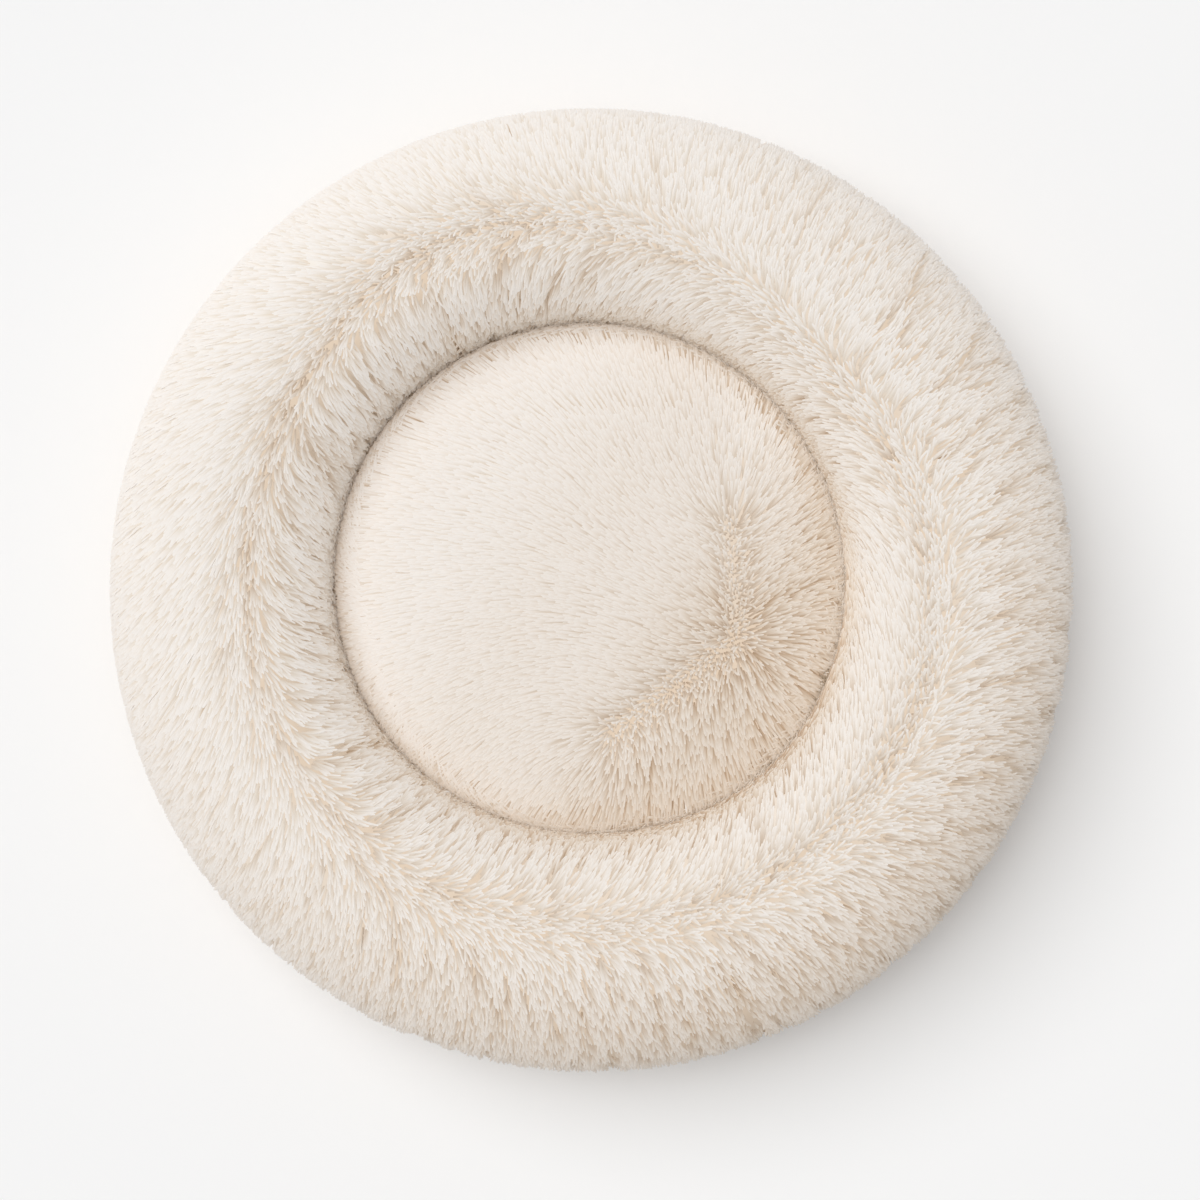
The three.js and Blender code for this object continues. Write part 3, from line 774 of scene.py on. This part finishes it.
def underfur_material(name, sleek, ruffled):
    """The dense pile under the strands, with a fine grain. It is painted deeper as shade where the strands
    stand apart, low on the ring and down the seat's side.
    """
    patch_scale, patch_strength = 90, 0.3
    sleek_place, shaded_place = 0.15, 0.9
    material, nodes, links, shader = new_material(name, roughness=0.95)
    # The layer's painted shade, which with the grain chooses the colour
    ruffle = nodes.new("ShaderNodeAttribute")
    ruffle.attribute_name = UNDERFUR_SHADE_LAYER
    patches = cloudy(nodes, links, object_places(nodes), patch_scale)
    grain = calculated(nodes, links, "MULTIPLY_ADD", patches, patch_strength, ruffle.outputs["Fac"])
    color = ramp(nodes, links, grain, [(sleek_place, sleek), (shaded_place, ruffled)])
    links.new(color, shader.inputs["Base Color"])
    return material


def printed_dots(nodes, links, places, cloth_color, dot_color):
    """The cloth's colour, with the dots that stand down from it in a colour of their own."""
    dot_top = DOT_HEIGHT - 0.2 * MM
    height = split_parts(nodes, links, places)["Z"]
    on_dot = calculated(nodes, links, "LESS_THAN", height, dot_top)
    return blended(nodes, links, on_dot, cloth_color, (*dot_color, 1))


def thread_heights(nodes, links, places, turn, weave_scale):
    """One set of threads, turned by so much: smooth waves, a little uneven."""
    mapping = nodes.new("ShaderNodeMapping")
    mapping.inputs["Rotation"].default_value = (0, 0, turn)
    mapping.inputs["Scale"].default_value = (weave_scale,) * 3
    links.new(places, mapping.inputs["Vector"])
    wave = nodes.new("ShaderNodeTexWave")
    for socket, value in {"Scale": 0.1, "Distortion": 0.6, "Detail": 1}.items():
        wave.inputs[socket].default_value = value
    links.new(mapping.outputs["Vector"], wave.inputs["Vector"])
    return wave.outputs["Fac"]


def woven_material(name, color, gap_color, weave_scale, bump_height, dot_color=None):
    """Plain weave: two sets of threads over and under each other, with a darker gap between them, and
    faintly cloudy. The finer the weave, the higher its scale."""
    gap_height, thread_height = 0.2, 0.8
    cloud_scale, cloud_share, cloud_color = 9, 0.25, (0.8, 0.8, 0.8)
    material, nodes, links, shader = new_material(name, roughness=0.9, sheen=0.1)
    places = object_places(nodes)
    sets = [thread_heights(nodes, links, places, turn, weave_scale) for turn in (0, math.pi / 2)]
    height = calculated(nodes, links, "MAXIMUM", *sets)
    weave = ramp(nodes, links, height, [(gap_height, gap_color), (thread_height, color)])
    clouds = cloudy(nodes, links, places, cloud_scale)
    shades = ramp(nodes, links, clouds, [(0.3, cloud_color), (0.7, WHITE[:3])])
    cloth = blended(nodes, links, cloud_share, weave, shades, "MULTIPLY")
    if dot_color:
        cloth = printed_dots(nodes, links, places, cloth, dot_color)
    links.new(cloth, shader.inputs["Base Color"])
    add_bump(nodes, links, shader, height, bump_height, strength=0.8)
    return material


def mottled_material(name, low, high, scale, roughness, bump_height, metallic=0.0):
    """A moulded, painted or felted surface: two near colours in cloudy patches and a fine grain."""
    low_place, high_place = 0.35, 0.65
    material, nodes, links, shader = new_material(name, roughness)
    shader.inputs["Metallic"].default_value = metallic
    patches = cloudy(nodes, links, object_places(nodes), scale, detail=6)
    color = ramp(nodes, links, patches, [(low_place, low), (high_place, high)])
    links.new(color, shader.inputs["Base Color"])
    add_bump(nodes, links, shader, patches, bump_height, strength=0.5)
    return material


# Colours of the strands, from the root at 0 to the tip at 1. The roots are darker, partly as the fibre's own
# tan and partly as painted shade deep in the pile, and the deep colours carry the painted shade of the
# tone as well as the pile's own deeper tone
PALE_PILE = [
    (0.0, (0.765, 0.655, 0.54)),
    (0.45, (0.81, 0.74, 0.655)),
    (0.75, (0.863, 0.807, 0.752)),
    (1.0, (0.885, 0.848, 0.812)),
]
DEEP_PILE = [
    (0.0, (0.32, 0.19, 0.10)),
    (0.45, (0.49, 0.34, 0.22)),
    (0.75, (0.64, 0.52, 0.40)),
    (1.0, (0.77, 0.68, 0.59)),
]

pile_look = pile_material("plush_pile", PALE_PILE, DEEP_PILE)
# The underfur's ruffled colour is painted shade
skin_look = underfur_material("plush_underfur", sleek=(0.84, 0.79, 0.73), ruffled=(0.75, 0.61, 0.475))
base_look = woven_material(
    "woven_base", color=(0.60, 0.53, 0.43), gap_color=(0.33, 0.28, 0.21), weave_scale=900,
    bump_height=0.3 * MM, dot_color=(0.24, 0.20, 0.16),
)
binding_look = woven_material(
    "seam_binding", color=(0.58, 0.47, 0.35), gap_color=(0.34, 0.26, 0.18), weave_scale=1400,
    bump_height=0.2 * MM,
)
liner_look = mottled_material(
    "non_woven_liner", low=(0.80, 0.79, 0.77), high=(0.90, 0.89, 0.87), scale=260, roughness=0.9,
    bump_height=0.15 * MM,
)
fibre_look = mottled_material(
    "polyester_fibre", low=(0.88, 0.88, 0.87), high=(0.95, 0.95, 0.94), scale=60, roughness=0.95,
    bump_height=1.5 * MM,
)
zip_cloth_look = woven_material(
    "zip_tape", color=(0.70, 0.62, 0.50), gap_color=(0.47, 0.40, 0.31), weave_scale=2200,
    bump_height=0.15 * MM,
)
zip_plastic_look = mottled_material(
    "zip_teeth", low=(0.72, 0.64, 0.52), high=(0.78, 0.71, 0.60), scale=400, roughness=0.42,
    bump_height=0.03 * MM,
)
zip_metal_look = mottled_material(
    "zip_slider_paint", low=(0.64, 0.56, 0.45), high=(0.71, 0.63, 0.52), scale=300, roughness=0.34,
    bump_height=0.03 * MM, metallic=0.5,
)


def dress(piece, material):
    piece.data.materials.clear()
    piece.data.materials.append(material)
    return piece


# The pile

def find_locks(root, flow):
    """Which way the middle of each strand's lock lies from it, across the flow, and how near the strand is
    to the lock's edge. Locks are about twice as long along the flow as across it."""
    batches, edge_quantile = 16, 0.95
    leaders = RNG.permutation(len(root))[: len(root) // STRANDS_IN_LOCK]
    middles = root[leaders]
    nearest = np.empty(len(root), int)
    for chosen in np.array_split(np.arange(len(root)), batches):
        offset = middles[None] - root[chosen][:, None]
        forward = np.einsum("tbk,tk->tb", offset, flow[chosen])
        nearest[chosen] = np.argmin(np.sum(offset ** 2, axis=2) - LOCK_STRETCH_SHARE * forward ** 2, axis=1)
    offset = middles[nearest] - root
    across = offset - flow * np.sum(offset * flow, axis=1, keepdims=True)
    reach = np.linalg.norm(across, axis=1)
    return across, np.clip(reach / np.quantile(reach, edge_quantile), 0, 1)


def crease_shift(points):
    """How far outside its seam the crease is seen: the plump seat leans over it at its lower right."""
    return varied(CREASE_SHIFT_MILLIMETRES, degrees_round(points), CREASE_SHIFT_SPOTS) * MM


def crease_painted_shade(tip):
    """The pile is deeper in tone as it goes down into the crease, as painted shade, less so on the wall
    that is in shade.
    """
    gap = seat_distance(tip) - SEAT_RADIUS - crease_shift(tip)
    on_seat = np.exp(gap / CREASE_REACH_ON_SEAT)
    bearing = degrees_round(tip[:, :2] - SEAT_SHIFT)
    notch = sum(hill(bearing, degrees, NOTCH_SHADE_REACH) for degrees in NOTCH_DEGREES)
    on_ring = np.exp(-gap / (grown(CREASE_REACH_MILLIMETRES, notch) * MM))
    on_ring = on_ring * (1 - varied(0, bearing, SHADED_CREASE_SPOTS) * (1 - notch))
    return CREASE_PAINTED_SHADE * np.where(gap > 0, on_ring, on_seat)


def grow(surface, depth_at, walk, turn, section, lie_at, keep_clear, label):
    """Grows strands at the given places of a surface, and links the pile in pieces of like size."""
    root, normal, along, around = surface_frame(surface, turn, section)
    flow, ruffle, tone, lean, wall = lie_at(root, normal, along, around)
    kept = RNG.uniform(0, 1, len(turn)) > THINNING_SHARE * ruffle * lean
    every = (turn, section, root, normal, along, around, flow, ruffle, tone, lean, wall)
    turn, section, root, normal, along, around, flow, ruffle, tone, lean, wall = (one[kept] for one in every)
    count = len(turn)
    to_middle, edge = find_locks(root, flow)
    angle = RNG.normal(0, 1, count) * (grown(TURN_SPREADS, ruffle) + PARTING_SPREAD * (1 - lean))
    flow = flow * np.cos(angle)[:, None] + np.cross(normal, flow) * np.sin(angle)[:, None]
    flow = unit(flow + to_middle * (grown(LOCK_PULL_SHARES, ruffle) / PILE_LENGTH)[:, None])
    heading = unit(np.stack([np.sum(flow * along, axis=1), np.sum(flow * around, axis=1)], axis=1))
    length = PILE_LENGTH * grown(LENGTH_SHARES, ruffle) * RNG.uniform(*LENGTH_RANGE_SHARES, count)
    length = length * grown(LEAN_LENGTH_SHARES, lean)
    lift = 1 + grown(LIFT_SPREADS, ruffle) * RNG.uniform(-1, 1, count) - LOCK_EDGE_SINK * ruffle * edge ** 2
    curl_size = grown(CURL_MILLIMETRES, ruffle) * MM * RNG.uniform(-1, 1, count)
    curl = np.stack([curl_size, RNG.uniform(0, FULL_TURN, count)], axis=1)
    path, level = laid_paths(surface, depth_at, walk, turn, section, heading, length, lift, curl)
    path = keep_clear(path)
    width = (SLEEK_WIDTH + (RUFFLED_WIDTH - SLEEK_WIDTH) * ruffle) * RNG.uniform(*WIDTH_RANGE_SHARES, count)
    # Painted shade at the edges of the locks
    tone += LOCK_EDGE_PAINTED_SHADE * edge ** 2 * grown(LOCK_EDGE_PAINTED_SHADE_SHARES, ruffle)
    tone += RNG.normal(0, TONE_SPREAD, count) * grown(TONE_SPREAD_SHARES, ruffle)
    # Painted shade going down into the crease
    tone = np.clip(tone + crease_painted_shade(path[:, -1]), 0, 1 - FLANK_PAINTED_SHADE)

    order = np.argsort(turn, kind="stable")
    for number, chosen in enumerate(np.array_split(order, math.ceil(count / STRANDS_IN_PIECE)), start=1):
        name = f"{label}_{number:02d}"
        strands = (values[chosen] for values in (path, level, width, tone, ruffle, wall))
        piece = dress(link_mesh(name, strand_mesh(name, *strands)), pile_look)
        piece.visible_shadow = False
        piece.visible_diffuse = False


def ring_lie(root, normal, along, around):
    """On the ring the pile turns from outward at the rim, through along the crest, to down the inner wall."""
    turned = ring_pile_turn(root)
    level = np.clip(np.abs(normal[:, 2]), LEAST_LEVEL_SHARE, 1)
    flow = unit(around * (np.sin(turned) * level)[:, None] - along * np.cos(turned)[:, None])
    ruffle = ring_ruffle(root)
    share, crest = crest_place(root)
    degrees = degrees_round(root)
    wall = np.exp(-np.maximum(seat_distance(root) - CREASE_RADIUS, 0) / WALL_FADE)
    # Painted shade on the lower right, where the pile is ruffled and on the outer side
    tone = varied(RUFFLED_TONE, degrees, RUFFLED_PAINTED_SHADE_SPOTS) * ruffle
    tone += varied(0, degrees, OUTER_PAINTED_SHADE_SPOTS) * ramped(share, *OUTER_SIDE_SHARES)
    # Painted shade down the inner wall towards the crease
    tone += WALL_PAINTED_SHADE * wall
    tone += ramped(crest - share, *INNER_SIDE_SHARES) * varied(0, degrees, INNER_TONE_SPOTS)
    parting = np.exp(-((share - crest + PARTING_LINE_SHARE) / PARTING_LINE_REACH_SHARE) ** 2)
    tone += parting * varied(PARTING_TONE, degrees, PARTING_TONE_SPOTS)
    parted = np.maximum(*(added * hill(degrees, middle, reach) for middle, reach, added in PARTED_SPOTS))
    lean = 1 - OPEN_CREST_LEAN * np.exp(-((crest - share) / OPEN_CREST_SHARE) ** 2) * parted
    return flow, ruffle, tone, lean, wall


def seat_lie(root, normal, along, around):
    """On the seat the pile lies away from the whorl and its ridges, and is deepest at the lower right. It
    has painted shade at its right edge and down its side into the crease.
    """
    flat, lean = seat_pile_flow(root)
    flow = np.concatenate([flat, np.zeros((len(flat), 1))], axis=1)
    flow = unit(flow - normal * np.sum(flow * normal, axis=1, keepdims=True))
    ruffle = seat_ruffle(root)
    lower_right = 0.75 * root[:, 0] - 0.5 * root[:, 1]
    # Painted shade at the seat's right edge
    edge = ramped(seat_distance(root), *SEAT_RIM_SHADE_BAND)
    edge = edge * hill(degrees_round(root), SEAT_RIM_SHADE_DEGREES, SEAT_RIM_SHADE_REACH)
    tone = grown(SEAT_TONES, ruffle) + NEAR_TONE * smooth_share(lower_right / NEAR_TONE_WIDTH + 1)
    tone += SEAT_RIM_PAINTED_SHADE * edge
    tone += FAR_TONE * ramped(lower_right, *FAR_TONE_BAND)
    # Painted shade down the seat's side into the crease
    tone += SEAT_SIDE_PAINTED_SHADE * smooth_share((SEAT_SIDE_SHADE_START - root[:, 2]) / SEAT_SIDE_SHADE_WIDTH)
    return flow, ruffle, tone, lean, np.zeros(len(root))


def set_apart(path, wanted, inward, from_middle):
    """Moves points to the distance wanted from a middle: inward those that are farther, or else outward
    those that are nearer."""
    offset = path[:, :, :2] - from_middle
    distance = np.linalg.norm(offset, axis=2)
    past = distance > wanted if inward else distance < wanted
    scale = np.where(past, wanted / np.maximum(distance, TINY), 1)
    path[:, :, :2] += offset * (scale - 1)[:, :, None]


def part_at_notches(path):
    """The pile parts where a cross seam of the cover comes down to the crease."""
    offset = path[:, :, :2] - SEAT_SHIFT
    distance = np.linalg.norm(offset, axis=2)
    nearness = np.clip(1 - (distance - CREASE_RADIUS) / NOTCH_LENGTH, 0, 1)
    for degrees in NOTCH_DEGREES:
        turn = math.radians(degrees)
        outward = np.array([math.cos(turn), math.sin(turn)])
        sideways = np.array([-outward[1], outward[0]])
        aside = offset @ sideways
        wanted = np.copysign(NOTCH_HALF_WIDTH * np.sqrt(nearness), aside)
        inside = (np.abs(aside) < np.abs(wanted)) & (offset @ outward > 0)
        path[:, :, :2] += np.where(inside, wanted - aside, 0)[:, :, None] * sideways


def keep_ring_clear(path):
    """Ring pile stops at the crease, parts at the seams, and stays off the binding and the floor."""
    crease = CREASE_RADIUS + crease_shift(path)
    scatter = RNG.uniform(0, RING_END_SCATTER, len(path))[:, None]
    set_apart(path, crease + scatter, inward=False, from_middle=SEAT_SHIFT)
    part_at_notches(path)
    low = path[:, :, 2] < REST_HEIGHT + BINDING_ROOM
    set_apart(path, np.where(low, BINDING_EDGE + BINDING_ROOM, 0), inward=False, from_middle=np.zeros(2))
    path[:, :, 2] = np.maximum(path[:, :, 2], FLOOR_ROOM)
    return path


def keep_seat_clear(path):
    """Seat pile spreads to the crease, and stops there."""
    offset = path[:, :, :2] - SEAT_SHIFT
    distance = np.linalg.norm(offset, axis=2)
    shift = crease_shift(path)
    near_edge = smooth_share((distance - SEAT_RADIUS) / SEAT_SPREAD_WIDTH + 1)
    spread = 1 + shift * near_edge / np.maximum(distance, TINY)
    path[:, :, :2] += offset * (spread - 1)[:, :, None]
    scatter = RNG.uniform(0, SEAT_END_SCATTER, len(path))[:, None]
    set_apart(path, SEAT_RADIUS + shift + scatter, inward=True, from_middle=SEAT_SHIFT)
    return path


def make_ring_pile():
    """From low on the outer wall, over the crest and down to the crease."""
    round_share, area_share = even_places(RING_STRANDS, starts=(0.11, 0.37))
    section = equal_area(ring_root_surface, math.radians(-65), math.radians(190), area_share)
    turn = round_share * FULL_TURN + RNG.normal(0, RING_SCATTER / CREST_RADIUS, RING_STRANDS)
    grow(ring_root_surface, ring_pile_depth, ring_walk, turn, section, ring_lie, keep_ring_clear,
         label="ring_pile")


def make_seat_pile():
    """From the crown to a little down the side."""
    round_share, area_share = even_places(SEAT_STRANDS, starts=(0.53, 0.71))
    rise = equal_area(seat_skin_surface, math.radians(89.9), math.radians(-13), area_share)
    turn = round_share * FULL_TURN
    grow(seat_skin_surface, seat_pile_depth, seat_walk, turn, rise, seat_lie, keep_seat_clear,
         label="seat_pile")


# Cloth skins

def closed_skin(name, surface, underfur_shade_at, rows, columns, limits):
    """A skin with its own thickness: an outer sheet, an inner one, and their two edges joined."""
    turns = np.linspace(0, FULL_TURN, columns, endpoint=False)
    sections = np.linspace(*limits, rows)
    turn, section = np.meshgrid(turns, sections)
    point, normal, _, _ = surface_frame(surface, turn.ravel(), section.ravel())
    outer = point.reshape(rows, columns, 3)
    inner = (point - normal * SKIN_THICKNESS).reshape(rows, columns, 3)[::-1]
    points = np.concatenate([outer, inner]).reshape(-1, 3)
    mesh = mesh_from(name, points, grid_quads(rows * 2, columns))
    # How much painted shade each point of the underfur gets
    layer = mesh.attributes.new(UNDERFUR_SHADE_LAYER, "FLOAT", "POINT")
    layer.data.foreach_set("value", underfur_shade_at(points).astype(np.float32))
    return mesh


def make_skin(name, surface, underfur_shade_at, rows, columns, limits, nodes):
    mesh = closed_skin(name, surface, underfur_shade_at, rows, columns, limits)
    piece = dress(link_mesh(name, mesh), skin_look)
    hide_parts(*nodes)


# Camera, light and floor

def make_camera():
    """Straight above the bed, a little right of and below its middle, as the photograph is framed."""
    camera = bpy.data.cameras.new("camera")
    camera.sensor_fit = "HORIZONTAL"
    camera.lens = camera.sensor_width * (CAMERA_PLACE[2] - BULGE_HEIGHT) / FRAME_WIDTH
    rig = bpy.data.objects.new("camera", camera)
    rig.location = CAMERA_PLACE
    bpy.context.scene.collection.objects.link(rig)
    bpy.context.scene.camera = rig


def make_softbox(name, azimuth, elevation, spread, share):
    """A far, wide and even light. share is how much of a level white floor's brightness it gives."""
    lamp = bpy.data.lights.new(name, "SUN")
    lamp.angle = math.radians(spread)
    lamp.energy = share * math.pi / math.sin(math.radians(elevation))
    rig = bpy.data.objects.new(name, lamp)
    rig.rotation_euler = (0, math.radians(90 - elevation), math.radians(azimuth))
    bpy.context.scene.collection.objects.link(rig)


def make_world(level, seen_level):
    """The world lights the bed at one level, and is itself seen, also in gloss, at another."""
    world = bpy.data.worlds.new("studio")
    bpy.context.scene.world = world
    world.use_nodes = True
    nodes, links = world.node_tree.nodes, world.node_tree.links
    light, seen = nodes["Background"], nodes.new("ShaderNodeBackground")
    for background, strength in ((light, level), (seen, seen_level)):
        background.inputs["Color"].default_value = WHITE
        background.inputs["Strength"].default_value = strength
    rays = nodes.new("ShaderNodeLightPath").outputs
    either = calculated(nodes, links, "MAXIMUM", rays["Is Camera Ray"], rays["Is Glossy Ray"])
    mix = nodes.new("ShaderNodeMixShader")
    links.new(either, mix.inputs["Fac"])
    links.new(light.outputs["Background"], mix.inputs[1])
    links.new(seen.outputs["Background"], mix.inputs[2])
    links.new(mix.outputs["Shader"], nodes["World Output"].inputs["Surface"])


def make_floor():
    corners = [(-1, -1, 0), (1, -1, 0), (1, 1, 0), (-1, 1, 0)]
    mesh = mesh_from("floor", np.array(corners) * FLOOR_HALF_WIDTH, np.array([[0, 1, 2, 3]]))
    floor = bpy.data.objects.new("floor", mesh)
    bpy.context.scene.collection.objects.link(floor)
    material, _, _, shader = new_material("floor", roughness=0.9, specular=0.0)
    shader.inputs["Base Color"].default_value = FLOOR_COLOR
    mesh.materials.append(material)


make_camera()
make_floor()
make_world(level=WORLD_SHARE, seen_level=1)
for lamp_name, settings in LAMPS.items():
    make_softbox(lamp_name, *settings)
make_skin(
    "ring_skin", ring_skin_surface, ring_underfur_shade, rows=60, columns=240,
    limits=(math.radians(-78), math.radians(195)),
    nodes=("ring_cover_left", "ring_cover_right"),
)
make_skin(
    "seat_skin", seat_skin_surface, seat_underfur_shade, rows=40, columns=180,
    limits=(-SEAT_SIDE_TURN, math.radians(89.95)), nodes=("seat_cover",),
)
make_ring_pile()
make_seat_pile()

DRESSED = (
    (base_look, "base_panel"),
    (binding_look, "crease_seam_tape", "base_seam_binding"),
    (liner_look, "ring_liner", "pad_liner"),
    (fibre_look, "ring_fibre_fill", "pad_fibre_fill"),
    (zip_cloth_look, "zip_tape_front", "zip_tape_back"),
    (zip_plastic_look, "zip_teeth_front", "zip_teeth_back"),
    (zip_plastic_look, "zip_top_stop_front", "zip_top_stop_back", "zip_bottom_stop"),
    (zip_metal_look, "zip_slider", "zip_pull"),
)
for look, *names in DRESSED:
    for name in names:
        dress(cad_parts[name], look)

bpy.context.scene.view_settings.view_transform = "Standard"
